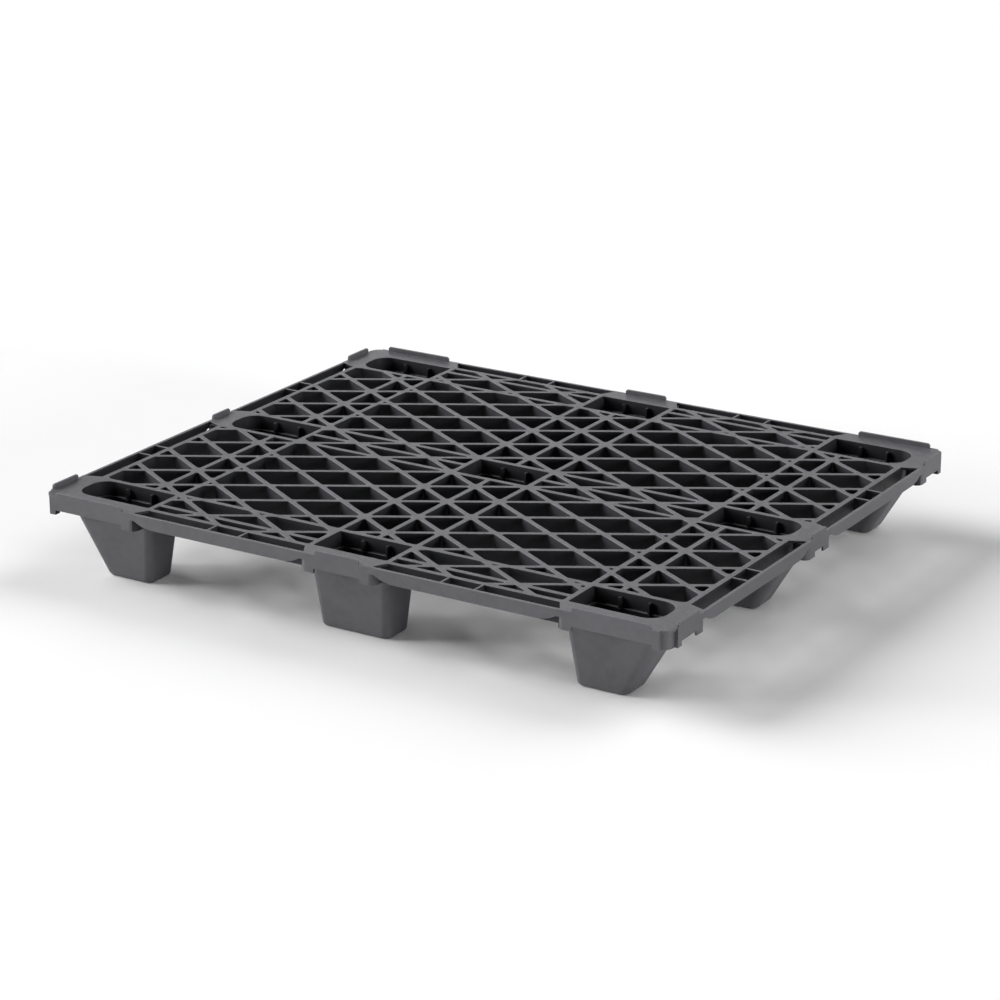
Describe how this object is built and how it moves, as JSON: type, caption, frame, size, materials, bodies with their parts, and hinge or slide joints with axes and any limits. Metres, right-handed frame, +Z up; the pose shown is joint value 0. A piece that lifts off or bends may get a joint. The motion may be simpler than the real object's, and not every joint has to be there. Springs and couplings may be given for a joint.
{
  "type": "plastic pallet",
  "caption": "Nestable plastic pallet with an open deck of diagonal ribs, hollow tapered feet, ribbed rim, corner bumpers and low retaining lips.",
  "frame": {"origin": "on the ground, below the middle of the deck", "axes": "+X along the long side, +Y towards the back, +Z up through the deck"},
  "size_m": [1.2, 1, 0.148],
  "materials": {
    "black_plastic": "matte moulded recycled polyolefin, dark grey"
  },
  "bodies": {
    "root": {"foot_front_left": "black_plastic", "foot_front_centre": "black_plastic", "foot_front_right": "black_plastic", "foot_middle_left": "black_plastic", "foot_centre": "black_plastic", "foot_middle_right": "black_plastic", "foot_back_left": "black_plastic", "foot_back_centre": "black_plastic", "foot_back_right": "black_plastic", "deck_front_left": "black_plastic", "deck_front_right": "black_plastic", "deck_back_left": "black_plastic", "deck_back_right": "black_plastic", "deck_spine_front": "black_plastic", "deck_spine_back": "black_plastic", "deck_cross_left": "black_plastic", "deck_cross_right": "black_plastic", "deck_side_front_left": "black_plastic", "deck_side_front_right": "black_plastic", "deck_side_back_left": "black_plastic", "deck_side_back_right": "black_plastic", "deck_band_front_left": "black_plastic", "deck_band_front_right": "black_plastic", "deck_band_back_left": "black_plastic", "deck_band_back_right": "black_plastic", "bumper_front_left": "black_plastic", "bumper_front_centre": "black_plastic", "bumper_front_right": "black_plastic", "bumper_left": "black_plastic", "bumper_right": "black_plastic", "bumper_back_left": "black_plastic", "bumper_back_centre": "black_plastic", "bumper_back_right": "black_plastic", "beam_front_left": "black_plastic", "beam_front_right": "black_plastic", "beam_back_left": "black_plastic", "beam_back_right": "black_plastic", "beam_left_front": "black_plastic", "beam_left_back": "black_plastic", "beam_right_front": "black_plastic", "beam_right_back": "black_plastic", "lip_front_left": "black_plastic", "lip_front_centre": "black_plastic", "lip_front_right": "black_plastic", "lip_back_left": "black_plastic", "lip_back_centre": "black_plastic", "lip_back_right": "black_plastic", "lip_left_front": "black_plastic", "lip_left_middle": "black_plastic", "lip_left_back": "black_plastic", "lip_right_front": "black_plastic", "lip_right_middle": "black_plastic", "lip_right_back": "black_plastic"}
  },
  "joints": []
}
